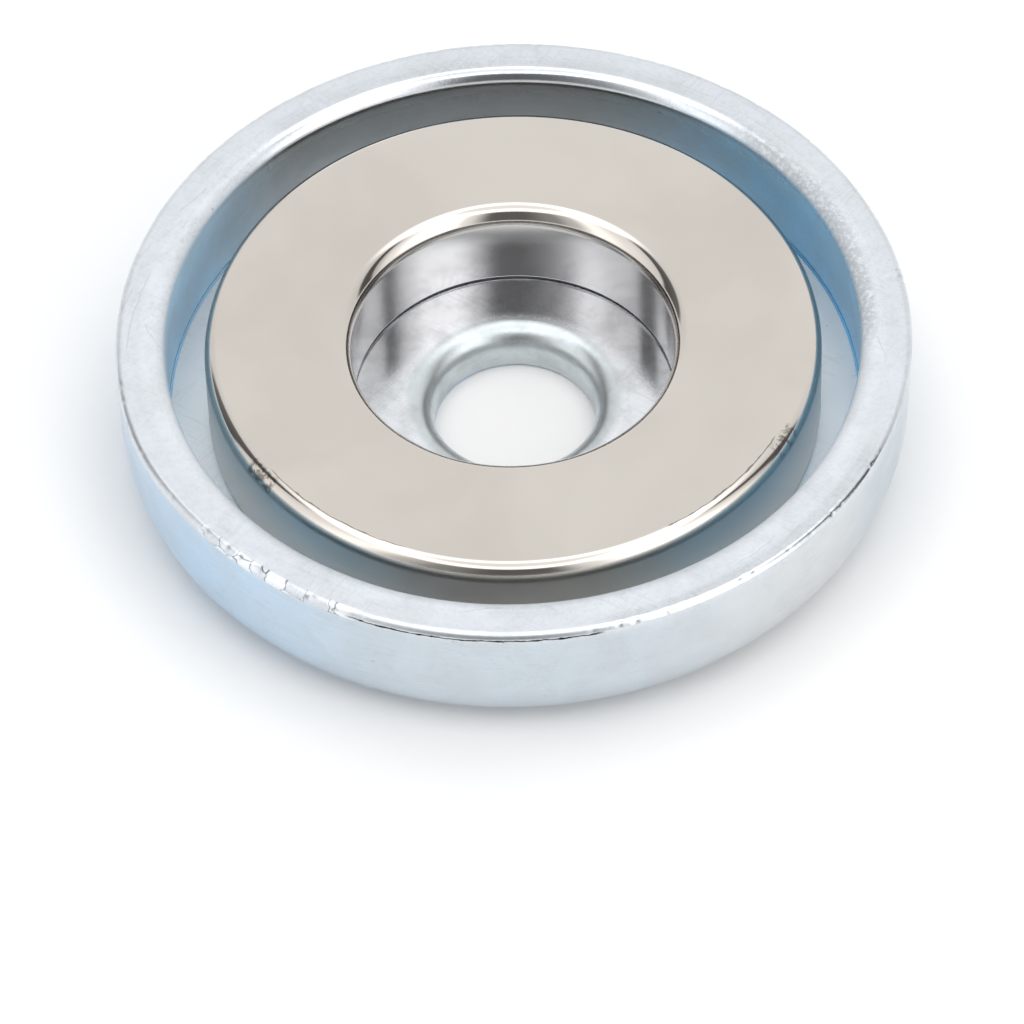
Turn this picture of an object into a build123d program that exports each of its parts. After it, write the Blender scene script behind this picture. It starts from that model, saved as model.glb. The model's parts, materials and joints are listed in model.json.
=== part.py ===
from build123d import *

import os

# Pot magnet: a pressed steel cup with a ring magnet glued to its floor, and a
# screw hole through the middle. Millimetres. +Z points out of the open face,
# and the origin is the centre of the base, on the surface the cup stands on.

# Steel cup
CUP_DIAMETER = 36.0
CUP_HEIGHT = 6.8
WALL_THICKNESS = 2.15
FLOOR_THICKNESS = 2.0
BASE_CORNER_RADIUS = 2.9  # where the sheet was drawn round from base to wall
RIM_OUTER_CHAMFER = 0.22
RIM_INNER_CHAMFER = 0.38

# Screw hole through the cup's floor
SCREW_HOLE_DIAMETER = 7.4
HOLE_LEAD_IN = 0.65  # chamfer at the upper edge, where the screw enters
HOLE_EXIT_CHAMFER = 0.1  # broken edge in the base

# Ring magnet
CHANNEL_WIDTH = 1.83  # open channel between the cup's wall and the magnet
MAGNET_BORE_DIAMETER = 14.7
MAGNET_THICKNESS = 4.3
MAGNET_RIM_RADIUS = 0.75  # outer edge of the face, tumbled before plating
MAGNET_MOUTH_RADIUS = 0.85  # inner edge of the face, where the bore opens
MAGNET_FOOT_CHAMFER = 0.15  # both edges of the glued side

# Glue between the magnet and the cup's floor
GLUE_THICKNESS = 0.1
GLUE_SETBACK = 0.15  # how far the glue stops short of the magnet's foot

# Places that follow from the sizes above
CUP_RADIUS = CUP_DIAMETER / 2
CUP_INNER_RADIUS = CUP_RADIUS - WALL_THICKNESS
HOLE_RADIUS = SCREW_HOLE_DIAMETER / 2
MAGNET_RADIUS = CUP_INNER_RADIUS - CHANNEL_WIDTH
MAGNET_BORE_RADIUS = MAGNET_BORE_DIAMETER / 2
MAGNET_FOOT = FLOOR_THICKNESS + GLUE_THICKNESS
MAGNET_FACE = MAGNET_FOOT + MAGNET_THICKNESS


def turned(corners, softened=()):
    """A solid turned about Z from a closed section of (radius, height) corners.

    Each entry of softened is (corner, operation, size): the operation is fillet
    or chamfer, and the corners that have no entry stay sharp.
    """
    section = make_face(Polyline(*corners, close=True))
    for corner, operation, size in softened:
        vertex = section.vertices().sort_by_distance(corner)[0]
        section = operation(vertex, size)
    return revolve(Plane.XZ * section, Axis.Z)


def steel_cup():
    """The cup: flat base, full-radius base corner, upright wall and pierced floor."""
    hole_exit = (HOLE_RADIUS, 0)
    base_corner = (CUP_RADIUS, 0)
    rim_outer_edge = (CUP_RADIUS, CUP_HEIGHT)
    rim_inner_edge = (CUP_INNER_RADIUS, CUP_HEIGHT)
    wall_foot = (CUP_INNER_RADIUS, FLOOR_THICKNESS)
    hole_mouth = (HOLE_RADIUS, FLOOR_THICKNESS)
    return turned(
        [hole_exit, base_corner, rim_outer_edge, rim_inner_edge, wall_foot, hole_mouth],
        [
            (base_corner, fillet, BASE_CORNER_RADIUS),
            (rim_outer_edge, chamfer, RIM_OUTER_CHAMFER),
            (rim_inner_edge, chamfer, RIM_INNER_CHAMFER),
            (hole_mouth, chamfer, HOLE_LEAD_IN),
            (hole_exit, chamfer, HOLE_EXIT_CHAMFER),
        ],
    )


def ring_magnet():
    """The sintered and plated ring, with rounded edges on its working face."""
    foot_inner = (MAGNET_BORE_RADIUS, MAGNET_FOOT)
    foot_outer = (MAGNET_RADIUS, MAGNET_FOOT)
    face_outer = (MAGNET_RADIUS, MAGNET_FACE)
    face_inner = (MAGNET_BORE_RADIUS, MAGNET_FACE)
    return turned(
        [foot_inner, foot_outer, face_outer, face_inner],
        [
            (face_outer, fillet, MAGNET_RIM_RADIUS),
            (face_inner, fillet, MAGNET_MOUTH_RADIUS),
            (foot_outer, chamfer, MAGNET_FOOT_CHAMFER),
            (foot_inner, chamfer, MAGNET_FOOT_CHAMFER),
        ],
    )


def adhesive_film():
    """The flat ring of set glue that holds the magnet to the floor."""
    inner = MAGNET_BORE_RADIUS + MAGNET_FOOT_CHAMFER + GLUE_SETBACK
    outer = MAGNET_RADIUS - MAGNET_FOOT_CHAMFER - GLUE_SETBACK
    return turned(
        [
            (inner, FLOOR_THICKNESS),
            (outer, FLOOR_THICKNESS),
            (outer, MAGNET_FOOT),
            (inner, MAGNET_FOOT),
        ]
    )


NODES = {
    "steel_cup": steel_cup,
    "ring_magnet": ring_magnet,
    "adhesive_film": adhesive_film,
}

os.makedirs("parts", exist_ok=True)
for node, make in NODES.items():
    export_step(make(), os.path.join("parts", node + ".step"))
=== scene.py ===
"""Looks of the pot magnet: a zinc-plated pressed steel cup, a nickel-plated ring magnet
glued to its floor, and a screw hole through the middle. Metres, +Z out of the open face."""

import json
import math

import bpy
import numpy as np
from mathutils import Matrix, Vector


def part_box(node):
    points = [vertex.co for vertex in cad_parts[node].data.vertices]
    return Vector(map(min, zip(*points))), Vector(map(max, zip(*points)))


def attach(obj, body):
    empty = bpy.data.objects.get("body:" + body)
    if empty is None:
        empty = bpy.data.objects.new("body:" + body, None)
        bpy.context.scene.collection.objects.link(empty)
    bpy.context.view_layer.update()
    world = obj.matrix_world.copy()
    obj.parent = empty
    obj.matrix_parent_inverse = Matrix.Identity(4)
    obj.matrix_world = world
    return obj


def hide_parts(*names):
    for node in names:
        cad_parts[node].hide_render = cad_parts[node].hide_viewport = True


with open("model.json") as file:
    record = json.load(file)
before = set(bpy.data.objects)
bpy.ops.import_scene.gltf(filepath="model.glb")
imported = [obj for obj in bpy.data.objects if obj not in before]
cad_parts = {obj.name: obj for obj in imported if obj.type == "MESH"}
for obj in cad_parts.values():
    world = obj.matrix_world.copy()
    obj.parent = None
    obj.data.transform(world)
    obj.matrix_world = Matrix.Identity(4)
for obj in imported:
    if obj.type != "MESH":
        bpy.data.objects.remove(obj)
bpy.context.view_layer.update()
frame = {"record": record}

MM = 0.001

# ---------------------------------------------------------------- sizes from the frame
cup_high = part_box("steel_cup")[1]
magnet_low, magnet_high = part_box("ring_magnet")
glue_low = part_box("adhesive_film")[0]
mounts = frame["record"]["mounts"]
bores = {mount["name"]: mount["dims"]["r_mm"] * MM for mount in mounts if mount["kind"] == "bore"}

CUP_RADIUS = round(cup_high.x, 5)
CUP_HEIGHT = round(cup_high.z, 5)
FLOOR_TOP = round(glue_low.z, 5)
MAGNET_RADIUS = round(magnet_high.x, 5)
MAGNET_FOOT = round(magnet_low.z, 5)
MAGNET_FACE = round(magnet_high.z, 5)
BORE_RADIUS = bores["screw_head_recess"]
HOLE_RADIUS = bores["screw_hole"]
CHANNEL_WIDTH = 1.83 * MM
CUP_INNER_RADIUS = MAGNET_RADIUS + CHANNEL_WIDTH
WALL_LEAN = 0.10 * MM  # how far the drawn wall leans in at the rim
GLUE_SETBACK = 0.12 * MM

# ---------------------------------------------------------------- edges, as rounds
BASE_CORNER_ROUND = 2.9 * MM
RIM_OUTER_ROUND = 0.34 * MM
RIM_INNER_ROUND = 0.66 * MM
WALL_FOOT_ROUND = 0.03 * MM
HOLE_LIP_ROUND = 1.1 * MM
HOLE_EXIT_ROUND = 0.17 * MM
MAGNET_RIM_ROUND = 0.75 * MM
MAGNET_MOUTH_ROUND = 0.85 * MM
MAGNET_FOOT_ROUND = 0.10 * MM
GLUE_EDGE_ROUND = 0.04 * MM

CUP_TURN_STEPS = 1000  # finer, for the chips along its rim
RING_TURN_STEPS = 720
EDGE_SUPPORT = 0.02 * MM  # how close a guard line lies to each round
MOST_SUPPORT = 0.2  # that distance at most, as a share of a short side
STRAIGHT_STEP = 1.5 * MM


# ---------------------------------------------------------------- shapes
def rounded_corner(before, corner, after, radius, steps):
    """The arc that rounds a corner: its centre lies on the corner's bisector at radius over the
    sine of the half angle, and the arc runs between the two points where it touches the sides."""
    to_before = (before - corner) / np.linalg.norm(before - corner)
    to_after = (after - corner) / np.linalg.norm(after - corner)
    half = math.acos(float(np.clip(to_before @ to_after, -1, 1))) / 2
    bisector = (to_before + to_after) / np.linalg.norm(to_before + to_after)
    centre = corner + bisector * radius / math.sin(half)
    start = corner + to_before * radius / math.tan(half) - centre
    end = corner + to_after * radius / math.tan(half) - centre
    sweep = math.pi - 2 * half
    t = np.linspace(0, sweep, steps + 1)[:, None]
    return centre + (np.sin(sweep - t) * start + np.sin(t) * end) / math.sin(sweep)


def straight_run(start, end):
    """Points strictly between two points, evenly spread, with a guard point close to each end."""
    length = np.linalg.norm(end - start)
    count = max(2, int(round(length / STRAIGHT_STEP)))
    share = np.linspace(0, 1, count + 1)[1:-1]
    guard = min(EDGE_SUPPORT / length, MOST_SUPPORT)
    share = np.unique(np.concatenate([[guard], share, [1 - guard]]))[:, None]
    return start + (end - start) * share


def closed_section(corners):
    """A closed section in radius and height. Each corner is (radius, height, round, steps)."""
    points = np.array([c[:2] for c in corners], float)
    arcs = []
    for k, (_, _, radius, steps) in enumerate(corners):
        after = points[(k + 1) % len(points)]
        arcs.append(rounded_corner(points[k - 1], points[k], after, radius, steps))
    runs = []
    for k, arc in enumerate(arcs):
        runs.append(arc)
        runs.append(straight_run(arc[-1], arcs[(k + 1) % len(arcs)][0]))
    return np.concatenate(runs)


def irregular(angle, along, seed, waves, turns, pitch):
    """A smooth random field from about -1 to 1: the mean of cosines that each turn a whole
    number of times about the axis, so that the ends meet, and drift along the section."""
    rng = np.random.default_rng(seed)
    around = rng.integers(turns[0], turns[1], waves)[:, None, None]
    down = rng.normal(0, 1 / pitch, waves)[:, None, None]
    phase = rng.uniform(0, 2 * np.pi, waves)[:, None, None]
    field = np.cos(around * angle[None] + down * along[None] + phase).sum(0)
    return field * math.sqrt(2 / waves) / 2


def turned_mesh(name, section, turn_steps, relief=None):
    """The section carried once round the Z axis: point (radius, height) at angle a stands at
    (radius cos a, radius sin a, height). relief(angle, radius, height) gives two offsets that
    are added to the radius and the height first."""
    angle = np.linspace(0, 2 * np.pi, turn_steps, endpoint=False)[:, None]
    radius = np.broadcast_to(section[:, 0], (turn_steps, len(section))).copy()
    height = np.broadcast_to(section[:, 1], (turn_steps, len(section))).copy()
    if relief is not None:
        outwards, upwards = relief(angle, radius, height)
        radius += outwards
        height += upwards
    points = np.stack([radius * np.cos(angle), radius * np.sin(angle), height], axis=-1)
    here = np.arange(turn_steps * len(section)).reshape(turn_steps, len(section))
    beside = np.roll(here, -1, axis=0)
    corners = [here, beside, np.roll(beside, -1, axis=1), np.roll(here, -1, axis=1)]
    faces = np.stack(corners, axis=-1)
    mesh = bpy.data.meshes.new(name)
    mesh.from_pydata(points.reshape(-1, 3), [], faces.reshape(-1, 4))
    mesh.polygons.foreach_set("use_smooth", np.ones(len(mesh.polygons), bool))
    mesh.update()
    piece = bpy.data.objects.new(name, mesh)
    bpy.context.scene.collection.objects.link(piece)
    return piece


def near(value, centre, reach):
    """A soft hump: 1 at centre, 0 from reach away on, along a squared cosine."""
    share = np.clip(np.abs(value - centre) / reach, 0, 1)
    return np.cos(share * np.pi / 2) ** 2


def window(angle, middle, half):
    """A soft hump along the turn, 1 at the middle angle and 0 from half away on, in degrees."""
    away = np.degrees(np.angle(np.exp(1j * (angle - math.radians(middle)))))
    return near(away, 0, half)


CHIP_DEPTH = 0.06 * MM
CHIP_REACH = 0.5 * MM  # how far from the rim's outer edge chips go
CHIP_LEVEL = 0.35  # the random field cuts chips from here on
CHIP_SPREAD = 0.4  # and reaches full depth this much higher
CHIPS_ANYWHERE = 0.3
CHIPS_FLAKED = 0.5
CHIPS_NICKED = 1.2
BURR_HEIGHT = 0.018 * MM
BURR_DROP = 0.22 * MM  # how far under the rim the burr ends
BURR_MEAN = 0.6  # the ragged burr's mean height, as a share of its full one
DRAWN_WAVE = 0.012 * MM
FLAKED_EDGE = (-128, 17)  # middle and half angle of the rim's outer edge that is flaked
FOLDED_EDGE = (-97, 24)  # where a thin burr is folded down over the wall
NICKED_EDGE = (7, 8)
OUT_OF_ROUND = ((-30, 62, 0.15 * MM), (-160, 24, 0.13 * MM))  # middle, half angle, how far out
BULGE_START = 3.0 * MM  # height where the bulge begins, and again how much higher it is full
BULGE_INNER = 0.5 * MM  # how far outside the inner wall it begins
BULGE_SPREAD = 1.2 * MM


def rim_chips(angle, radius, height):
    """How deep small chips go into the rim's outer edge: a random field above a level, near the
    edge only, most of all where the edge is nicked and not at all under the folded burr."""
    edge = near(np.hypot(radius - CUP_RADIUS, height - CUP_HEIGHT), 0, CHIP_REACH)
    flaked = CHIPS_FLAKED * window(angle, *FLAKED_EDGE)
    where = CHIPS_ANYWHERE + flaked + CHIPS_NICKED * window(angle, *NICKED_EDGE)
    where = where * (1 - window(angle, *FOLDED_EDGE)) ** 2
    field = irregular(angle, radius + height, seed=11, waves=56, turns=(30, 170), pitch=0.5 * MM)
    return np.clip((field - CHIP_LEVEL) / CHIP_SPREAD, 0, 1) * edge * CHIP_DEPTH * where


def folded_burr(angle, radius, height):
    """How far the thin ragged burr in front stands off the wall: a hump under the rim."""
    level = near(height, CUP_HEIGHT - BURR_DROP, 0.08 * MM)
    lower = level * near(radius, CUP_RADIUS, 0.2 * MM)
    field = irregular(angle, radius + height, seed=13, waves=30, turns=(30, 200), pitch=0.6 * MM)
    ragged = BURR_MEAN + (1 - BURR_MEAN) * field
    return lower * ragged * window(angle, *FOLDED_EDGE) * BURR_HEIGHT


def drawn_wave(angle, radius, height):
    """The slight waviness of drawn sheet, on the outer wall only."""
    wall = near(radius, CUP_RADIUS, 0.3 * MM)
    field = irregular(angle, radius + height, seed=12, waves=12, turns=(2, 14), pitch=6 * MM)
    return field * wall * DRAWN_WAVE


def rim_bulge(angle, radius, height):
    """How far the outer side of the rim stands out of round: humps along the turn that grow
    with the square of the height."""
    bulge = sum(far * window(angle, middle, half) for middle, half, far in OUT_OF_ROUND)
    outer = np.clip((radius - CUP_INNER_RADIUS - BULGE_INNER) / BULGE_SPREAD, 0, 1)
    upper = np.clip((height - BULGE_START) / BULGE_START, 0, 1)
    return bulge * outer * upper**2


def cup_relief(angle, radius, height):
    """All that takes the cup off its exact section: chips are pushed in along the outer edge's
    own diagonal, and burr, waviness and bulge stand outwards."""
    chips = rim_chips(angle, radius, height)
    burr = folded_burr(angle, radius, height)
    wave = drawn_wave(angle, radius, height)
    return wave + burr - chips + rim_bulge(angle, radius, height), -chips


def cup_piece():
    """The cup's section, anticlockwise from the outer wall: rim, inner wall, floor, hole, base."""
    section = closed_section(
        [
            (CUP_RADIUS, 0, BASE_CORNER_ROUND, 16),
            (CUP_RADIUS, CUP_HEIGHT, RIM_OUTER_ROUND, 10),
            (CUP_INNER_RADIUS - WALL_LEAN, CUP_HEIGHT, RIM_INNER_ROUND, 12),
            (CUP_INNER_RADIUS, FLOOR_TOP, WALL_FOOT_ROUND, 5),
            (HOLE_RADIUS, FLOOR_TOP, HOLE_LIP_ROUND, 12),
            (HOLE_RADIUS, 0, HOLE_EXIT_ROUND, 5),
        ]
    )
    return turned_mesh("cup_shell", section, CUP_TURN_STEPS, cup_relief)


def magnet_piece():
    """The ring's section, anticlockwise from the outer wall."""
    section = closed_section(
        [
            (MAGNET_RADIUS, MAGNET_FOOT, MAGNET_FOOT_ROUND, 6),
            (MAGNET_RADIUS, MAGNET_FACE, MAGNET_RIM_ROUND, 14),
            (BORE_RADIUS, MAGNET_FACE, MAGNET_MOUTH_ROUND, 14),
            (BORE_RADIUS, MAGNET_FOOT, MAGNET_FOOT_ROUND, 6),
        ]
    )
    return turned_mesh("magnet_ring", section, RING_TURN_STEPS)


def glue_piece():
    """The thin film between the magnet's foot and the floor."""
    inner = BORE_RADIUS + GLUE_SETBACK
    outer = MAGNET_RADIUS - GLUE_SETBACK
    section = closed_section(
        [
            (outer, FLOOR_TOP, GLUE_EDGE_ROUND, 3),
            (outer, MAGNET_FOOT, GLUE_EDGE_ROUND, 3),
            (inner, MAGNET_FOOT, GLUE_EDGE_ROUND, 3),
            (inner, FLOOR_TOP, GLUE_EDGE_ROUND, 3),
        ]
    )
    return turned_mesh("glue_film", section, RING_TURN_STEPS)


# ---------------------------------------------------------------- node helpers
def plug(tree, socket, value):
    """Links the socket where value is another node's output, and sets it otherwise."""
    if isinstance(value, bpy.types.NodeSocket):
        tree.links.new(value, socket)
    elif value is not None:
        socket.default_value = value


def maths(tree, operation, a, b=None, c=None):
    """One step of arithmetic."""
    node = tree.nodes.new("ShaderNodeMath")
    node.operation = operation
    for socket, value in zip(node.inputs, (a, b, c)):
        plug(tree, socket, value)
    return node.outputs[0]


def times(tree, first, *others):
    """The product of all the values."""
    for other in others:
        first = maths(tree, "MULTIPLY", first, other)
    return first


def total(tree, first, *others):
    """The sum of all the values."""
    for other in others:
        first = maths(tree, "ADD", first, other)
    return first


def largest(tree, first, *others):
    """The largest of the values."""
    for other in others:
        first = maths(tree, "MAXIMUM", first, other)
    return first


def gap(tree, a, b):
    """How far two values lie apart."""
    return maths(tree, "ABSOLUTE", maths(tree, "SUBTRACT", a, b))


def inverse(tree, share):
    """One minus the share."""
    return maths(tree, "SUBTRACT", 1.0, share)


def ramp(tree, value, low, high, start=0.0, end=1.0):
    """start up to low, end from high on, and an S curve between them."""
    node = tree.nodes.new("ShaderNodeMapRange")
    node.interpolation_type = "SMOOTHSTEP"
    for socket, given in zip(node.inputs, (value, low, high, start, end)):
        plug(tree, socket, given)
    return node.outputs[0]


def vectors(tree, operation, a, b=None, scale=None):
    """One step of vector arithmetic."""
    node = tree.nodes.new("ShaderNodeVectorMath")
    node.operation = operation
    plug(tree, node.inputs[0], a)
    if b is not None:
        plug(tree, node.inputs[1], b)
    if scale is not None:
        plug(tree, node.inputs["Scale"], scale)
    return node.outputs["Value" if operation == "LENGTH" else "Vector"]


def mixed(tree, share, a, b):
    """The number a where share is 0 and b where it is 1."""
    node = tree.nodes.new("ShaderNodeMix")
    for socket, value in zip(node.inputs, (share, None, a, b)):
        plug(tree, socket, value)
    return node.outputs[0]


def noise(tree, vector, scale, detail=2.0, rough=0.5, warp=0.0):
    """Soft noise from 0 to 1 about 0.5."""
    node = tree.nodes.new("ShaderNodeTexNoise")
    labels = ("Vector", "Scale", "Detail", "Roughness", "Distortion")
    for label, value in zip(labels, (vector, scale, detail, rough, warp)):
        plug(tree, node.inputs[label], value)
    return node.outputs["Fac"]


def shaken(tree, vector, scale, far):
    """The vector moved a little each way by soft noise."""
    node = tree.nodes.new("ShaderNodeTexNoise")
    plug(tree, node.inputs["Vector"], vector)
    plug(tree, node.inputs["Scale"], scale)
    return vectors(tree, "ADD", vector, vectors(tree, "SCALE", node.outputs["Color"], scale=far))


def split(tree, vector):
    """The three numbers of a vector, as sockets X, Y and Z."""
    node = tree.nodes.new("ShaderNodeSeparateXYZ")
    plug(tree, node.inputs[0], vector)
    return node.outputs


def joined(tree, *numbers):
    """A vector made of up to three numbers."""
    node = tree.nodes.new("ShaderNodeCombineXYZ")
    for socket, number in zip(node.inputs, numbers):
        plug(tree, socket, number)
    return node.outputs[0]


def turned(tree, vector, angle):
    """The vector turned about Z."""
    node = tree.nodes.new("ShaderNodeVectorRotate")
    node.rotation_type = "Z_AXIS"
    plug(tree, node.inputs["Vector"], vector)
    plug(tree, node.inputs["Angle"], angle)
    return node.outputs[0]


def voronoi(tree, vector, scale, feature="F1"):
    """Random cells."""
    node = tree.nodes.new("ShaderNodeTexVoronoi")
    node.feature = feature
    plug(tree, node.inputs["Vector"], vector)
    plug(tree, node.inputs["Scale"], scale)
    return node.outputs


def blend_colours(tree, share, a, b):
    """Colour a where share is 0 and b where it is 1."""
    node = tree.nodes.new("ShaderNodeMix")
    node.data_type = "RGBA"
    plug(tree, node.inputs["Factor"], share)
    plug(tree, node.inputs[6], a)
    plug(tree, node.inputs[7], b)
    return node.outputs[2]


def painted(tree, colour, *layers):
    """The colour with the layers laid over it in turn; each is (share, its colour)."""
    for share, over in layers:
        colour = blend_colours(tree, share, colour, over)
    return colour


def new_group(name, inputs, outputs):
    """An empty shader node group. Inputs are (label, type, start value), outputs (label, type)."""
    tree = bpy.data.node_groups.new(name, "ShaderNodeTree")
    for label, kind, start in inputs:
        socket = tree.interface.new_socket(label, in_out="INPUT", socket_type="NodeSocket" + kind)
        if start is not None:
            socket.default_value = start
    for label, kind in outputs:
        tree.interface.new_socket(label, in_out="OUTPUT", socket_type="NodeSocket" + kind)
    entry = tree.nodes.new("NodeGroupInput")
    leave = tree.nodes.new("NodeGroupOutput")
    return tree, entry.outputs, leave.inputs


def use(tree, group, **values):
    """Places a group; a socket's name is given with _ for each space."""
    node = tree.nodes.new("ShaderNodeGroup")
    node.node_tree = group
    for label, value in values.items():
        plug(tree, node.inputs[label.replace("_", " ")], value)
    return node.outputs


# ---------------------------------------------------------------- effects shared by materials
DEGREES = 180 / math.pi


def turned_place_group():
    """Where a point of a turned part lies: its place, radius and height in millimetres, and
    its angle about the axis in degrees."""
    tree, given, result = new_group(
        "turned_place",
        [("Position", "Vector", None)],
        [("Place", "Vector"), ("Radius", "Float"), ("Height", "Float"), ("Angle", "Float")],
    )
    place = vectors(tree, "SCALE", given["Position"], scale=1 / MM)
    parts = split(tree, place)
    flat = vectors(tree, "MULTIPLY", place, (1, 1, 0))
    angle = maths(tree, "ARCTAN2", parts["Y"], parts["X"])
    plug(tree, result["Place"], place)
    plug(tree, result["Radius"], vectors(tree, "LENGTH", flat))
    plug(tree, result["Height"], parts["Z"])
    plug(tree, result["Angle"], times(tree, angle, DEGREES))
    return tree


def plating_group():
    """The skin of a plated surface: slow clouding, a fine grain and rare round pits."""
    tree, given, result = new_group(
        "plating_skin",
        [
            ("Place", "Vector", None),
            ("Grain", "Float", 14.0),
            ("Cloud", "Float", 0.25),
            ("Pits", "Float", 0.5),
        ],
        [("Cloud", "Float"), ("Grain", "Float"), ("Pits", "Float")],
    )
    cloud = noise(tree, given["Place"], given["Cloud"], 3.0, 0.55, 0.4)
    grain = noise(tree, given["Place"], given["Grain"], 3.0, 0.6)
    cells = voronoi(tree, given["Place"], given["Pits"])
    size = noise(tree, cells["Position"], 3.7, 0.0)
    reach = ramp(tree, size, 0.55, 0.75, 0.001, 0.10)
    pits = ramp(tree, maths(tree, "DIVIDE", cells["Distance"], reach), 0.6, 1.0, 1.0, 0.0)
    plug(tree, result["Cloud"], cloud)
    plug(tree, result["Grain"], grain)
    plug(tree, result["Pits"], pits)
    return tree


def scratch_field_group():
    """Many faint hairlines that run roughly one way: noise stretched along the heading, of
    which only a thin level line is kept, and that only in patches."""
    tree, given, result = new_group(
        "scratch_field",
        [
            ("Place", "Vector", None),
            ("Heading", "Float", 0.0),
            ("Closeness", "Float", 1.0),
            ("Width", "Float", 0.02),
            ("Patches", "Float", 0.55),
        ],
        [("Mask", "Float")],
    )
    headed = turned(tree, given["Place"], given["Heading"])
    stretched = vectors(tree, "MULTIPLY", headed, (0.06, 1.0, 1.0))
    level = noise(tree, stretched, given["Closeness"], 1.0, 0.4, 0.3)
    line = ramp(tree, gap(tree, level, 0.5), 0.0, given["Width"], 1.0, 0.0)
    patch = noise(tree, given["Place"], 0.35, 2.0)
    above = total(tree, given["Patches"], 0.08)
    plug(tree, result["Mask"], times(tree, line, ramp(tree, patch, given["Patches"], above)))
    return tree


def hairline_group():
    """One scratch: a line from Start along Heading, bent like a shallow parabola, fading at
    both ends."""
    tree, given, result = new_group(
        "hairline",
        [
            ("Place", "Vector", None),
            ("Start", "Vector", None),
            ("Heading", "Float", 0.0),
            ("Length", "Float", 2.0),
            ("Bend", "Float", 0.0),
            ("Width", "Float", 0.04),
        ],
        [("Mask", "Float")],
    )
    offset = vectors(tree, "SUBTRACT", given["Place"], given["Start"])
    parts = split(tree, turned(tree, offset, times(tree, given["Heading"], -1 / DEGREES)))
    along, across = parts["X"], parts["Y"]
    apart = gap(tree, across, times(tree, along, along, given["Bend"]))
    line = ramp(tree, apart, times(tree, given["Width"], 0.3), given["Width"], 1.0, 0.0)
    half = times(tree, given["Length"], 0.5)
    reach = gap(tree, along, half)
    ends = ramp(tree, maths(tree, "DIVIDE", reach, half), 0.7, 1.0, 1.0, 0.0)
    plug(tree, result["Mask"], times(tree, line, ends))
    return tree


def span_of(tree, given, solid):
    """1 between the group's two angles, fading towards them from the solid share on."""
    away = gap(tree, given["Angle"], given["Middle Angle"])
    return ramp(tree, maths(tree, "DIVIDE", away, given["Half Angle"]), solid, 1.0, 1.0, 0.0)


def edge_wear_and_painted_light_group():
    """A mask for wear and for painted light along a turned edge, between two angles: full at the
    edge's radius and height, gone at Reach from it, and only where Broken, a noise, is over Level."""
    tree, given, result = new_group(
        "edge_wear_and_painted_light",
        [
            ("Broken", "Float", 1.0),
            ("Radius", "Float", 0.0),
            ("Height", "Float", 0.0),
            ("Angle", "Float", 0.0),
            ("Edge Radius", "Float", 1.0),
            ("Edge Height", "Float", 1.0),
            ("Reach", "Float", 0.3),
            ("Middle Angle", "Float", 0.0),
            ("Half Angle", "Float", 180.0),
            ("Level", "Float", 0.5),
        ],
        [("Mask", "Float")],
    )
    outwards = maths(tree, "SUBTRACT", given["Radius"], given["Edge Radius"])
    upwards = maths(tree, "SUBTRACT", given["Height"], given["Edge Height"])
    squared = total(tree, times(tree, outwards, outwards), times(tree, upwards, upwards))
    distance = maths(tree, "DIVIDE", maths(tree, "SQRT", squared), given["Reach"])
    edge = ramp(tree, distance, 0.5, 1.0, 1.0, 0.0)
    spots = ramp(tree, given["Broken"], given["Level"], total(tree, given["Level"], 0.10))
    plug(tree, result["Mask"], times(tree, edge, span_of(tree, given, 0.75), spots))
    return tree


def flaked_edge_group():
    """Plating that has cracked into short flakes along a turned edge: cells stretched along the
    turn, of which most have lifted, and the cracks between them; the flakes are painted bright as
    painted highlight, and the cracks dark as painted shade."""
    tree, given, result = new_group(
        "flaked_edge",
        [
            ("Height", "Float", 0.0),
            ("Angle", "Float", 0.0),
            ("Band", "Float", 1.0),
            ("Middle Angle", "Float", 0.0),
            ("Half Angle", "Float", 20.0),
        ],
        [("Flakes", "Float"), ("Cracks", "Float")],
    )
    shown = times(tree, span_of(tree, given, 0.8), given["Band"])
    spread = joined(tree, times(tree, given["Angle"], 0.30), times(tree, given["Height"], 1.6))
    loose = shaken(tree, spread, 2.5, 0.35)
    cells = voronoi(tree, loose, 1.0)
    border = voronoi(tree, loose, 1.0, "DISTANCE_TO_EDGE")["Distance"]
    lifted = ramp(tree, split(tree, cells["Color"])["X"], 0.25, 0.35)
    inner = ramp(tree, border, 0.03, 0.07)
    crack = ramp(tree, border, 0.006, 0.022, 0.7, 0.0)
    plug(tree, result["Flakes"], times(tree, shown, lifted, inner))
    plug(tree, result["Cracks"], times(tree, shown, crack))
    return tree


def painted_dark_line_group():
    """A thin ragged line round a turned part at Line Height, between two angles: the line
    wanders and its width changes."""
    tree, given, result = new_group(
        "painted_dark_line",
        [
            ("Place", "Vector", None),
            ("Height", "Float", 0.0),
            ("Angle", "Float", 0.0),
            ("Line Height", "Float", 1.0),
            ("Width", "Float", 0.03),
            ("Middle Angle", "Float", 0.0),
            ("Half Angle", "Float", 20.0),
        ],
        [("Mask", "Float")],
    )
    wander = ramp(tree, noise(tree, given["Place"], 1.6, 3.0), 0.25, 0.75, -0.03, 0.03)
    off = gap(tree, total(tree, given["Height"], wander), given["Line Height"])
    swell = ramp(tree, noise(tree, given["Place"], 1.1, 4.0, 0.7), 0.45, 0.75, 0.8, 2.6)
    width = times(tree, given["Width"], swell)
    line = ramp(tree, maths(tree, "DIVIDE", off, width), 0.6, 1.0, 1.0, 0.0)
    plug(tree, result["Mask"], times(tree, line, span_of(tree, given, 0.9)))
    return tree


# ---------------------------------------------------------------- materials
def new_material(name):
    """A material with a Principled shader, and its nodes."""
    material = bpy.data.materials.new(name)
    material.use_nodes = True
    tree = material.node_tree
    return material, tree, tree.nodes["Principled BSDF"]


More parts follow.
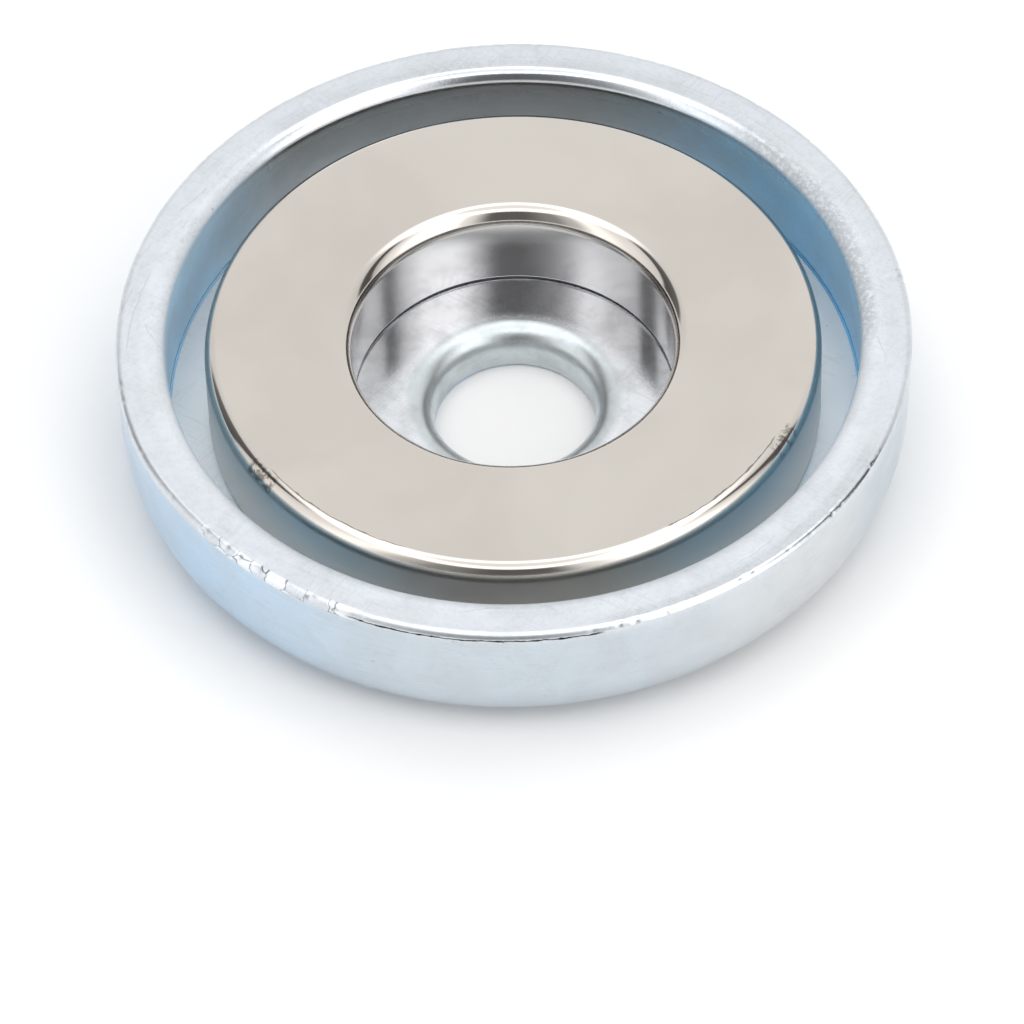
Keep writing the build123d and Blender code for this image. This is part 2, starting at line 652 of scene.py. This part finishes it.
def place_of(tree, groups):
    """The turned place of the piece's own Object coordinates."""
    coordinates = tree.nodes.new("ShaderNodeTexCoord")
    return use(tree, groups["turned_place"], Position=coordinates.outputs["Object"])


def where_of(at, *labels):
    """The named parts of a turned place, to hand on to a group."""
    return {label: at[label] for label in labels}


def set_bump(tree, shader, height, strength, depth):
    """Gives the shader a fine relief; depth is in millimetres."""
    bump = tree.nodes.new("ShaderNodeBump")
    bump.inputs["Strength"].default_value = strength
    bump.inputs["Distance"].default_value = depth * MM
    plug(tree, bump.inputs["Height"], height)
    plug(tree, shader.inputs["Normal"], bump.outputs[0])


# ------------------------------------------------ zinc plating; lengths in millimetres from here on
ZINC_RIM = (0.705, 0.745, 0.79, 1)
ZINC_WALL = (0.615, 0.68, 0.735, 1)
ZINC_WALL_BLUE = (0.50, 0.67, 0.84, 1)  # the left of the outer wall: blue passivation, made bluer there as painted reflection
ZINC_WALL_GREY = (0.71, 0.73, 0.74, 1)  # the right of it: greyer, as painted reflection
ZINC_WALL_SIDE = (0.53, 0.62, 0.69, 1)  # the far right: darker, as painted reflection
ZINC_FLOOR = (0.80, 0.825, 0.86, 1)
ZINC_LIP = (0.64, 0.69, 0.71, 1)  # where the floor turns down into the hole, and the hole's wall: darker, as painted shade in the hole
ZINC_INNER_WALL = (0.58, 0.63, 0.67, 1)
# the inner wall's left and right: blue passivation, made bluer and brighter there as painted light
# and reflection
ZINC_INNER_LEFT = (0.46, 0.76, 1.0, 1)
ZINC_INNER_RIGHT = (0.30, 0.68, 1.0, 1)
ZINC_CHANNEL = (0.95, 0.98, 1.0, 1)  # the floor outside the magnet, milky with streaks, and painted near white as painted light in the narrow channel
ZINC_STREAK = (0.93, 0.95, 0.97, 1)
ZINC_CLOUD = (0.45, 0.47, 0.47, 1)
ZINC_SCUFF = (0.25, 0.27, 0.28, 1)
ZINC_FLAKE_HIGHLIGHT = (0.84, 0.87, 0.89, 1)  # flakes painted brighter: painted highlight along the flaked edge
ZINC_DIRT = (0.17, 0.18, 0.19, 1)
ZINC_GAP_SHADE = (0.02, 0.022, 0.022, 1)  # painted shade in cracks, under the folded burr and in nicks, where light doesn't reach

RIM_TOP = CUP_HEIGHT / MM
WALL_OUTSIDE = CUP_RADIUS / MM
WALL_INSIDE = CUP_INNER_RADIUS / MM
WALL_MIDDLE = (WALL_OUTSIDE + WALL_INSIDE) / 2
SEAT_HEIGHT = FLOOR_TOP / MM
LIP_EDGE = (HOLE_RADIUS + HOLE_LIP_ROUND) / MM  # where the floor starts to turn down
MAGNET_TOP = MAGNET_FACE / MM
MAGNET_OUTSIDE = MAGNET_RADIUS / MM
MAGNET_INSIDE = BORE_RADIUS / MM
MAGNET_FLAT = MAGNET_OUTSIDE - MAGNET_RIM_ROUND / MM  # where the face starts to turn down

# radii or heights where an effect starts and where it is full
CHANNEL_RADII = (MAGNET_INSIDE + 2, MAGNET_OUTSIDE - 2)  # hidden under the magnet
INNER_WALL_RADII = (MAGNET_OUTSIDE - 2, MAGNET_OUTSIDE - 1)  # tells the inner wall from the hole
LIP_RADII = (LIP_EDGE + 0.3, LIP_EDGE - 0.1)
LIP_DULL_RADII = (LIP_EDGE + 0.6, LIP_EDGE)
SEAT_RADII = (MAGNET_INSIDE + 0.65, MAGNET_INSIDE - 0.05)
ABOVE_BASE = (0.05, 0.4)
INNER_COLOUR_HEIGHTS = (SEAT_HEIGHT - 0.6, SEAT_HEIGHT - 0.3)
FLAKED_HEIGHTS = (RIM_TOP - 0.45, RIM_TOP - 0.38)

OUTER_EDGE = {"Edge_Radius": WALL_OUTSIDE, "Edge_Height": RIM_TOP}
INNER_EDGE = {"Edge_Radius": WALL_INSIDE + 0.1, "Edge_Height": RIM_TOP - 0.1}
RIM_WEAR = {  # edge, noise that breaks it up, reach, middle angle, half angle, level
    # nicks: painted shade in the nicked outer edge
    "nicks": (OUTER_EDGE, "coarse", 0.5, 7.0, 9.0, 0.60),
    "grime": (INNER_EDGE, "coarse", 0.75, 22.0, 30.0, 0.42),
    "specks": (INNER_EDGE, "fine", 1.2, 24.0, 32.0, 0.52),
    "smut": (INNER_EDGE, "coarse", 0.7, 152.0, 26.0, 0.58),
    "bright_back": (INNER_EDGE, "none", 1.3, 84.0, 56.0, 0.5),
    "bright_front": (OUTER_EDGE, "none", 0.9, -52.0, 30.0, 0.5),
}
FLAKED_BAND = 0.42  # how far in from the outer wall the rim is flaked
FLAKED_SPAN = {"Middle_Angle": -128.0, "Half_Angle": 15.0}
# where the dark line of painted shade under the folded burr runs
FOLD_SPAN = {"Middle_Angle": -97.0, "Half_Angle": 19.0}
FOLD_LINE = {"Line_Height": RIM_TOP - 0.27, "Width": 0.042}
SPECKS_SHARE = 0.6  # how dark specks and smut are beside grime
SMUT_SHARE = 0.5
HAIRLINE_WANDER = 0.25
HAIRLINES = (  # start, heading in degrees, length, bend, width
    ((-16.2, 4.6, RIM_TOP), -112, 5.5, 0.03, 0.05),
    ((-17.1, 3.6, RIM_TOP), -104, 4.2, -0.04, 0.04),
    ((-16.6, 1.2, RIM_TOP), -70, 2.4, 0.10, 0.04),
    ((-15.2, 7.9, RIM_TOP), 40, 2.2, 0.05, 0.045),
    ((-2.6, -16.4, RIM_TOP), 20, 2.0, -0.12, 0.05),
    ((-1.2, -16.0, RIM_TOP), 52, 1.1, 0.10, 0.04),
    ((16.0, 2.8, RIM_TOP), -55, 1.6, 0.20, 0.045),
    ((16.7, 1.6, RIM_TOP), -125, 1.5, -0.20, 0.045),
    ((16.6, -1.0, RIM_TOP), -80, 1.4, 0.05, 0.04),
    ((9.5, -14.2, RIM_TOP), 35, 2.6, 0.03, 0.035),
)
ZINC_SKIN = {"Grain": 9.0, "Cloud": 0.45, "Pits": 0.9}
SCUFFS = {"Heading": 0.6, "Closeness": 3.0, "Width": 0.03, "Patches": 0.42}
SMEARS = {"Heading": -0.9, "Closeness": 2.2, "Width": 0.04, "Patches": 0.5}
ZINC_SHOWN = {  # how strongly each effect shows in the colour at most
    "clouds": 0.225,
    "streaks": 0.05,
    "channel_streaks": 0.35,
    "scuffs": 0.10,
    "mottling": 0.09,
    "smudges": 0.16,
    "dirt": 0.25,
    "lines": 0.17,
    "pits": 0.35,
}
ZINC_POLISH = (0.13, 0.19)  # roughness where the clouding is least and most
ZINC_DULLER = {  # what each adds to the roughness
    "rim": 0.17,
    "inner": 0.17,
    "grain": 0.06,
    "channel": 0.22,
    "lip": 0.14,
    "dirt": 0.12,
}
ZINC_RELIEF = {"streaks": 0.2, "lines": 1.5}  # how high each stands beside the grain
BRIGHT_ROUGHNESS = 0.09
BRIGHT_SHARE = 0.85
MILKY_CHANNEL = 0.6  # how much of the plating scatters light like paint
MILKY_SIDES = 0.6


def zinc_zones(tree, at):
    """Where on the cup a point lies, as shares: rim, inner wall, the floor seen from above, its
    outer channel, and the left and right of the axis."""
    radius, height, angle = at["Radius"], at["Height"], at["Angle"]
    rightness = maths(tree, "COSINE", times(tree, angle, 1 / DEGREES))
    low = ramp(tree, height, SEAT_HEIGHT + 0.02, SEAT_HEIGHT + 0.12, 1.0, 0.0)
    inside = ramp(tree, radius, WALL_INSIDE - 0.16, WALL_INSIDE - 0.08, 1.0, 0.0)
    half_in = ramp(tree, radius, WALL_MIDDLE, WALL_MIDDLE - 0.1)
    floor = times(tree, inside, low, ramp(tree, height, *ABOVE_BASE))
    left = ramp(tree, rightness, -0.6, -0.97)
    return {
        "rightness": rightness,
        "rim": ramp(tree, height, RIM_TOP - 0.7, RIM_TOP - 0.2),
        "inner": times(tree, half_in, inverse(tree, low), ramp(tree, radius, *INNER_WALL_RADII)),
        "floor": floor,
        "channel": times(tree, floor, ramp(tree, radius, *CHANNEL_RADII)),
        "sides": largest(tree, ramp(tree, rightness, 0.3, 0.9), left),
    }


def zinc_tint_and_painted_light(tree, at, on):
    """The tint of the blue passivation, nearly white on the rim and bluer on the walls, with
    painted light in it: painted reflection from left to right on the walls, a near-white channel as
    painted light, and painted shade down the hole.
    """
    radius, height, rightness = at["Radius"], at["Height"], on["rightness"]
    # the outer wall's colour changes from left to right as painted reflection of the studio
    wall = painted(
        tree,
        ZINC_WALL,
        (ramp(tree, rightness, 0.1, 0.9), ZINC_WALL_GREY),
        (ramp(tree, rightness, 0.75, 0.98), ZINC_WALL_SIDE),
        (ramp(tree, rightness, -0.2, -0.9), ZINC_WALL_BLUE),
    )
    front_left = ramp(tree, at["Angle"], -100, -140)
    leftness = largest(tree, ramp(tree, rightness, -0.6, -0.98), front_left)
    # bluer and brighter at the left and right: painted light and reflection
    inner = painted(
        tree,
        ZINC_INNER_WALL,
        (leftness, ZINC_INNER_LEFT),
        (ramp(tree, rightness, 0.2, 0.9), ZINC_INNER_RIGHT),
    )
    floor = painted(
        tree,
        ZINC_FLOOR,
        # the channel painted near white: painted light in the narrow channel
        (ramp(tree, radius, *CHANNEL_RADII), ZINC_CHANNEL),
        # darker down into the hole: painted shade
        (ramp(tree, radius, *LIP_RADII), ZINC_LIP),
    )
    half_in = ramp(tree, radius, WALL_MIDDLE + 0.1, WALL_MIDDLE)
    within = times(tree, half_in, ramp(tree, height, *INNER_COLOUR_HEIGHTS))
    return painted(tree, wall, (within, inner), (on["floor"], floor), (on["rim"], ZINC_RIM))


def hairlines(tree, groups, place):
    """All the single scratches in one mask."""
    wandered = shaken(tree, place, 1.3, HAIRLINE_WANDER)
    masks = []
    for start, heading, length, bend, width in HAIRLINES:
        path = {"Start": start, "Heading": heading, "Length": length, "Bend": bend}
        masks.append(use(tree, groups["hairline"], Place=wandered, **path, Width=width)["Mask"])
    return largest(tree, *masks)


def zinc_wear_and_painted_light(tree, groups, at):
    """The masks of what has happened to the cup and of painted light on it: flakes for painted
    highlight, cracks, the fold's line and nicks for painted shade, dirt, scratches and edges that
    stayed bright, and the coarse noise that they share."""
    noises = {
        "coarse": noise(tree, at["Place"], 4.5, 4.0, 0.7),
        "fine": noise(tree, at["Place"], 11.0, 2.0, 0.6),
        "none": None,
    }
    worn_and_shaded = {}
    where = where_of(at, "Radius", "Height", "Angle")
    for name, (edge, broken, reach, middle, half, level) in RIM_WEAR.items():
        span = {"Reach": reach, "Middle_Angle": middle, "Half_Angle": half, "Level": level}
        wear_and_light = use(tree, groups["edge_wear_and_painted_light"], **where, **edge, **span, Broken=noises[broken])
        worn_and_shaded[name] = wear_and_light["Mask"]
    turn = where_of(at, "Height", "Angle")
    inwards = maths(tree, "SUBTRACT", at["Radius"], WALL_OUTSIDE - FLAKED_BAND)
    high = ramp(tree, at["Height"], *FLAKED_HEIGHTS)
    band = times(tree, ramp(tree, inwards, 0.0, 0.06), high)
    flaked = use(tree, groups["flaked_edge"], **turn, **FLAKED_SPAN, Band=band)
    fold = use(tree, groups["painted_dark_line"], **turn, **FOLD_SPAN, **FOLD_LINE, Place=at["Place"])
    specks = times(tree, worn_and_shaded["specks"], SPECKS_SHARE)
    smut = times(tree, worn_and_shaded["smut"], SMUT_SHARE)
    return {
        "flakes": flaked["Flakes"],
        # painted shade: the cracks, the line under the fold and the nicks
        "gaps": largest(tree, flaked["Cracks"], fold["Mask"], worn_and_shaded["nicks"]),
        "dirt": largest(tree, worn_and_shaded["grime"], specks, smut),
        "lines": hairlines(tree, groups, at["Place"]),
        "bright": largest(tree, worn_and_shaded["bright_back"], worn_and_shaded["bright_front"]),
        "coarse": noises["coarse"],
    }


def turned_streaks(tree, at):
    """Faint marks round the axis: noise that changes quickly with the radius and slowly with
    the angle."""
    angle = times(tree, at["Angle"], 0.02)
    spread = joined(tree, angle, times(tree, at["Radius"], 5.0), times(tree, at["Height"], 5.0))
    return noise(tree, spread, 1.0, 3.0, 0.6, 0.5)


def zinc_layers(tree, groups, at, on, skin, wear_and_light, streaks):
    """What is laid over the tint, from the plating's own clouds up to dirt, with the flakes as
    painted highlight and, last, painted shade in cracks, under the fold and in nicks.
    """
    clouds = ramp(tree, skin["Cloud"], 0.3, 0.7, 0.0, ZINC_SHOWN["clouds"])
    streaky = maths(
        tree, "MULTIPLY_ADD", on["channel"], ZINC_SHOWN["channel_streaks"], ZINC_SHOWN["streaks"]
    )
    scuffs = use(tree, groups["scratch_field"], **SCUFFS, Place=at["Place"])["Mask"]
    smears = use(tree, groups["scratch_field"], **SMEARS, Place=at["Place"])["Mask"]
    mottled = ramp(tree, wear_and_light["coarse"], 0.42, 0.68)
    smudged = ramp(tree, noise(tree, at["Place"], 0.9, 3.0, 0.6), 0.42, 0.66)
    seat = times(tree, on["floor"], ramp(tree, at["Radius"], *SEAT_RADII))
    return (
        (times(tree, clouds, inverse(tree, on["channel"])), ZINC_CLOUD),
        (times(tree, ramp(tree, streaks, 0.35, 0.65), streaky), ZINC_STREAK),
        (times(tree, largest(tree, scuffs, smears), ZINC_SHOWN["scuffs"]), ZINC_SCUFF),
        (times(tree, mottled, on["rim"], ZINC_SHOWN["mottling"]), ZINC_DIRT),
        (times(tree, smudged, seat, ZINC_SHOWN["smudges"]), ZINC_DIRT),
        # painted highlight on the flakes
        (wear_and_light["flakes"], ZINC_FLAKE_HIGHLIGHT),
        (times(tree, wear_and_light["dirt"], ZINC_SHOWN["dirt"]), ZINC_DIRT),
        (times(tree, wear_and_light["lines"], ZINC_SHOWN["lines"]), ZINC_DIRT),
        (times(tree, skin["Pits"], ZINC_SHOWN["pits"]), ZINC_DIRT),
        # painted shade in the cracks, under the fold and in the nicks
        (wear_and_light["gaps"], ZINC_GAP_SHADE),
    )


def zinc_roughness(tree, at, on, skin, wear_and_light):
    """Smoothest on the outer wall and on the edges that stayed bright."""
    rough = total(
        tree,
        ramp(tree, skin["Cloud"], 0.3, 0.7, *ZINC_POLISH),
        times(tree, on["rim"], ZINC_DULLER["rim"]),
        times(tree, on["inner"], ZINC_DULLER["inner"]),
        ramp(tree, skin["Grain"], 0.3, 0.8, 0, ZINC_DULLER["grain"]),
        times(tree, on["channel"], ZINC_DULLER["channel"]),
        times(tree, ramp(tree, at["Radius"], *LIP_DULL_RADII), ZINC_DULLER["lip"]),
    )
    rough = mixed(tree, times(tree, wear_and_light["bright"], BRIGHT_SHARE), rough, BRIGHT_ROUGHNESS)
    return total(tree, rough, times(tree, wear_and_light["dirt"], ZINC_DULLER["dirt"]))


def zinc_material(groups):
    """Bright zinc plating: blue-white metal with clouding, fine grain, hairlines, and wear
    and dirt along the rim."""
    material, tree, shader = new_material("zinc_plating")
    at = place_of(tree, groups)
    on = zinc_zones(tree, at)
    skin = use(tree, groups["plating_skin"], Place=at["Place"], **ZINC_SKIN)
    wear_and_light = zinc_wear_and_painted_light(tree, groups, at)
    streaks = turned_streaks(tree, at)
    layers = zinc_layers(tree, groups, at, on, skin, wear_and_light, streaks)
    plug(tree, shader.inputs["Base Color"], painted(tree, zinc_tint_and_painted_light(tree, at, on), *layers))
    plug(tree, shader.inputs["Roughness"], zinc_roughness(tree, at, on, skin, wear_and_light))
    milky_sides = times(tree, on["inner"], on["sides"], MILKY_SIDES)
    milky = largest(tree, times(tree, on["channel"], MILKY_CHANNEL), milky_sides)
    plug(tree, shader.inputs["Metallic"], inverse(tree, milky))
    raised = maths(tree, "MULTIPLY_ADD", streaks, ZINC_RELIEF["streaks"], skin["Grain"])
    sunk = times(tree, wear_and_light["lines"], ZINC_RELIEF["lines"])
    set_bump(tree, shader, maths(tree, "SUBTRACT", raised, sunk), strength=0.30, depth=0.01)
    return material


# ------------------------------------------------ nickel plating
NICKEL_DARK = (0.625, 0.585, 0.54, 1)
NICKEL_PALE = (0.68, 0.64, 0.59, 1)
NICKEL_BORE = (0.60, 0.58, 0.575, 1)  # paler in hue inside the bore
NICKEL_SMUDGE = (0.3, 0.3, 0.3, 1)
# painted reflection: dark brown for the dark stretches of the studio that the magnet's edge
# reflects
NICKEL_PAINTED_REFLECTION = (0.10, 0.075, 0.055, 1)
NICKEL_SKIN = {"Grain": 22.0, "Cloud": 0.12, "Pits": 0.4}
NICKEL_POLISH = (0.06, 0.10)
NICKEL_DULLER = {"bore": 0.07, "smudge": 0.06, "steep": 0.25}
NICKEL_SHOWN = {"smudge": 0.16, "painted_reflection": 0.7}
BORE_RADII = (MAGNET_INSIDE + 0.95, MAGNET_INSIDE + 0.15)
BORE_HEIGHTS = (MAGNET_TOP - 0.4, MAGNET_TOP - 1.0)
STEEP_RADII = (MAGNET_OUTSIDE - 0.27, MAGNET_OUTSIDE - 0.12)
STEEP_HEIGHTS = (MAGNET_TOP - 0.2, MAGNET_TOP - 0.4)
PAINTED_REFLECTION_HEIGHTS = (MAGNET_TOP - 0.06, MAGNET_TOP - 0.01)
MAGNET_EDGE = {"Edge_Radius": MAGNET_OUTSIDE - 0.1, "Edge_Height": MAGNET_TOP - 0.1}
# the dark brown line and the spots at its ends are painted reflection
EDGE_LINE = {"Line_Height": MAGNET_FLAT + 0.06, "Width": 0.03}
REFLECTION_SPOT = {"Reach": 0.6, "Half_Angle": 4.0, "Level": 0.45}
PAINTED_REFLECTION_SPANS = ((-129, 17, -146), (-45, 16, -29))  # middle, half angle and where the painted dark spot ends it


def painted_edge_reflection(tree, groups, at):
    """Painted reflection: a thin dark brown line where the face turns into its outer edge, on both
    sides of the front, and a dark spot where each line ends, for the dark stretches of the studio
    that the edge reflects."""
    blotch = noise(tree, at["Place"], 2.2, 4.0, 0.7)
    near_top = ramp(tree, at["Height"], *PAINTED_REFLECTION_HEIGHTS)
    where = where_of(at, "Radius", "Height", "Angle")
    masks = []
    for middle, half, end in PAINTED_REFLECTION_SPANS:
        span = {"Middle_Angle": float(middle), "Half_Angle": float(half), "Angle": at["Angle"]}
        flat = {"Place": at["Place"], "Height": at["Radius"]}  # across the face, not up the wall
        line = use(tree, groups["painted_dark_line"], **flat, **span, **EDGE_LINE)["Mask"]
        spot = {**where, **MAGNET_EDGE, **REFLECTION_SPOT, "Middle_Angle": float(end)}
        reflected_spot = use(tree, groups["edge_wear_and_painted_light"], **spot, Broken=blotch)["Mask"]
        masks.append(largest(tree, times(tree, line, near_top), reflected_spot))
    return largest(tree, *masks)


def nickel_material(groups):
    """Nickel plating: warm grey metal, smooth on the face and its edges and duller in the bore,
    with a thin painted reflection in dark brown along the front of the edge."""
    material, tree, shader = new_material("nickel_plating")
    at = place_of(tree, groups)
    skin = use(tree, groups["plating_skin"], Place=at["Place"], **NICKEL_SKIN)
    deep = ramp(tree, at["Height"], *BORE_HEIGHTS)
    in_bore = times(tree, ramp(tree, at["Radius"], *BORE_RADII), deep)
    patches = ramp(tree, noise(tree, at["Place"], 0.7, 3.0, 0.55), 0.5, 0.75)
    smudge = times(tree, in_bore, patches)
    colour = painted(
        tree,
        NICKEL_DARK,
        (ramp(tree, skin["Cloud"], 0.3, 0.7), NICKEL_PALE),
        (in_bore, NICKEL_BORE),
        (times(tree, smudge, NICKEL_SHOWN["smudge"]), NICKEL_SMUDGE),
        # painted reflection along the front of the edge
        (times(tree, painted_edge_reflection(tree, groups, at), NICKEL_SHOWN["painted_reflection"]), NICKEL_PAINTED_REFLECTION),
    )
    plug(tree, shader.inputs["Base Color"], colour)
    shader.inputs["Metallic"].default_value = 1.0
    below_face = ramp(tree, at["Height"], *STEEP_HEIGHTS)
    steep = times(tree, ramp(tree, at["Radius"], *STEEP_RADII), below_face)
    rough = total(
        tree,
        ramp(tree, skin["Grain"], 0.3, 0.8, *NICKEL_POLISH),
        times(tree, in_bore, NICKEL_DULLER["bore"]),
        times(tree, smudge, NICKEL_DULLER["smudge"]),
        times(tree, steep, NICKEL_DULLER["steep"]),
    )
    plug(tree, shader.inputs["Roughness"], rough)
    set_bump(tree, shader, skin["Grain"], strength=0.15, depth=0.004)
    return material


# ------------------------------------------------ glue and floor
GLUE_DARK = (0.20, 0.21, 0.22, 1)
GLUE_PALE = (0.28, 0.29, 0.30, 1)
GLUE_SKIN = {"Grain": 6.0, "Cloud": 0.8, "Pits": 1.0}
GLUE_POLISH = (0.35, 0.6)
PAPER_DARK = (0.95, 0.95, 0.95, 1)
PAPER_PALE = (0.97, 0.97, 0.97, 1)
PAPER_FIBRE = 900.0


def glue_material(groups):
    """Set glue: dark, slightly glossy, and uneven."""
    material, tree, shader = new_material("set_glue")
    at = place_of(tree, groups)
    skin = use(tree, groups["plating_skin"], Place=at["Place"], **GLUE_SKIN)
    colour = blend_colours(tree, skin["Cloud"], GLUE_DARK, GLUE_PALE)
    plug(tree, shader.inputs["Base Color"], colour)
    plug(tree, shader.inputs["Roughness"], ramp(tree, skin["Grain"], 0.2, 0.8, *GLUE_POLISH))
    return material


def floor_material():
    """Pale matt paper, with the faintest fibre."""
    material, tree, shader = new_material("studio_floor")
    coordinates = tree.nodes.new("ShaderNodeTexCoord")
    fibre = noise(tree, coordinates.outputs["Object"], PAPER_FIBRE, 3.0)
    plug(tree, shader.inputs["Base Color"], blend_colours(tree, fibre, PAPER_DARK, PAPER_PALE))
    shader.inputs["Roughness"].default_value = 1.0
    shader.inputs["Specular IOR Level"].default_value = 0.0
    return material


# ---------------------------------------------------------------- studio
FLOOR_HALF_SIDE = 1.2
FLOOR_DROP = 0.02 * MM  # keeps the floor clear of the cup's flat base
SKY_COLOUR = (1.0, 1.0, 1.0, 1)
HORIZON = 1.0  # level all round at the horizon, which the white floor runs into
HORIZON_EDGES = (3, 8)  # elevations between which the ring takes over from the horizon
OVERHEAD = 2.05  # level of the large panel overhead
OVERHEAD_EDGES = (56, 65)  # elevations between which the panel comes on
ZENITH = 1.2  # its weaker middle
ZENITH_EDGES = (74, 81)
RING_SCALE = 2.5  # level where the ring's curve reaches 1
RING = (  # azimuth (0 is the front, -Y, and 90 is +X) and level of the light all round
    (-180, 1.0),
    (-150, 1.0),
    (-130, 0.9),
    (-124, 0.18),
    (-107, 0.12),
    (-103, 0.95),
    (-80, 1.15),
    (-56, 1.65),
    (-40, 0.7),
    (-28, 0.34),
    (-8, 0.15),
    (10, 0.15),
    (26, 1.1),
    (36, 2.0),
    (62, 1.95),
    (78, 1.25),
    (90, 0.75),
    (93, 0.12),
    (103, 0.12),
    (108, 0.9),
    (130, 1.0),
    (180, 1.0),
)


def light_ring(tree, azimuth):
    """The level of the light all round, from the stops of RING; azimuth is in radians."""
    ring = tree.nodes.new("ShaderNodeValToRGB")
    ring.color_ramp.interpolation = "EASE"
    stops = ring.color_ramp.elements
    while len(stops) < len(RING):
        stops.new(0.5)
    for stop, (at, level) in zip(stops, RING):
        share = level / RING_SCALE
        stop.position = (at + 180) / 360
        stop.color = (share, share, share, 1)
    plug(tree, ring.inputs[0], maths(tree, "MULTIPLY_ADD", azimuth, 0.5 / math.pi, 0.5))
    return times(tree, ring.outputs[0], RING_SCALE)


def studio_world():
    """A soft studio: white at the horizon, above it a ring of light that changes with the
    azimuth of the direction of sight, and a panel overhead with a weaker middle."""
    world = bpy.data.worlds.new("studio")
    bpy.context.scene.world = world
    world.use_nodes = True
    tree = world.node_tree
    coordinates = tree.nodes.new("ShaderNodeTexCoord")
    towards = split(tree, vectors(tree, "NORMALIZE", coordinates.outputs["Generated"]))
    azimuth = maths(tree, "ARCTAN2", towards["X"], times(tree, towards["Y"], -1))
    elevation = times(tree, maths(tree, "ARCSINE", towards["Z"]), DEGREES)
    level = mixed(tree, ramp(tree, elevation, *HORIZON_EDGES), HORIZON, light_ring(tree, azimuth))
    level = mixed(tree, ramp(tree, elevation, *OVERHEAD_EDGES), level, OVERHEAD)
    level = mixed(tree, ramp(tree, elevation, *ZENITH_EDGES), level, ZENITH)
    background = tree.nodes["Background"]
    background.inputs["Color"].default_value = SKY_COLOUR
    plug(tree, background.inputs["Strength"], level)


def studio_floor():
    """A flat square, a hair below the base."""
    side, low = FLOOR_HALF_SIDE, -FLOOR_DROP
    corners = [(-side, -side, low), (side, -side, low), (side, side, low), (-side, side, low)]
    mesh = bpy.data.meshes.new("studio_floor")
    mesh.from_pydata(corners, [], [(0, 1, 2, 3)])
    floor = bpy.data.objects.new("studio_floor", mesh)
    bpy.context.scene.collection.objects.link(floor)
    mesh.materials.append(floor_material())


# ---------------------------------------------------------------- camera
SENSOR = 36.0  # millimetres across the square picture
PICTURE_SIDE = 1024
FOCAL_PIXELS = 7152.0
CAMERA_DISTANCE = 324.0 * MM  # from the rim's centre, along the line of sight
CAMERA_ELEVATION = 50.04  # degrees
CAMERA_ROLL = 1.86
RIM_ABOVE_AXIS = 8.304 * MM  # how far the rim's centre lies above the line of sight
RIM_RIGHT_OF_AXIS = 0.02 * MM
CLIP_RANGE = (0.01, 10)


def studio_camera():
    """Looks down at the rim from the front, turned a little so that the right side rises."""
    elevation, roll = math.radians(CAMERA_ELEVATION), math.radians(CAMERA_ROLL)
    level_right = Vector((1, 0, 0))
    level_up = Vector((0, math.sin(elevation), math.cos(elevation)))
    back = Vector((0, -math.cos(elevation), math.sin(elevation)))
    right = level_right * math.cos(roll) - level_up * math.sin(roll)
    up = level_right * math.sin(roll) + level_up * math.cos(roll)
    rim_centre = Vector((0, 0, CUP_HEIGHT))
    aim = rim_centre - right * RIM_RIGHT_OF_AXIS - up * RIM_ABOVE_AXIS
    location = aim + back * CAMERA_DISTANCE
    lens = bpy.data.cameras.new("studio_camera")
    lens.sensor_width = SENSOR
    lens.lens = FOCAL_PIXELS / PICTURE_SIDE * SENSOR
    lens.clip_start, lens.clip_end = CLIP_RANGE
    camera = bpy.data.objects.new("studio_camera", lens)
    camera.matrix_world = Matrix(
        (
            (right.x, up.x, back.x, location.x),
            (right.y, up.y, back.y, location.y),
            (right.z, up.z, back.z, location.z),
            (0, 0, 0, 1),
        )
    )
    bpy.context.scene.collection.objects.link(camera)
    bpy.context.scene.camera = camera


# ---------------------------------------------------------------- the scene
def dress():
    """Builds each piece over its CAD node and gives it its finish."""
    groups = {
        "turned_place": turned_place_group(),
        "plating_skin": plating_group(),
        "scratch_field": scratch_field_group(),
        "hairline": hairline_group(),
        "edge_wear_and_painted_light": edge_wear_and_painted_light_group(),
        "flaked_edge": flaked_edge_group(),
        "painted_dark_line": painted_dark_line_group(),
    }
    pieces = [
        (cup_piece, "steel_cup", "zinc_plated_steel", zinc_material),
        (magnet_piece, "ring_magnet", "nickel_plated_magnet", nickel_material),
        (glue_piece, "adhesive_film", "set_glue", glue_material),
    ]
    for make, node, slot, finish in pieces:
        piece = make()
        material = finish(groups)
        piece.data.materials.append(material)
        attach(piece, "root")
        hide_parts(node)


dress()
studio_world()
studio_floor()
studio_camera()
bpy.context.scene.view_settings.view_transform = "Standard"
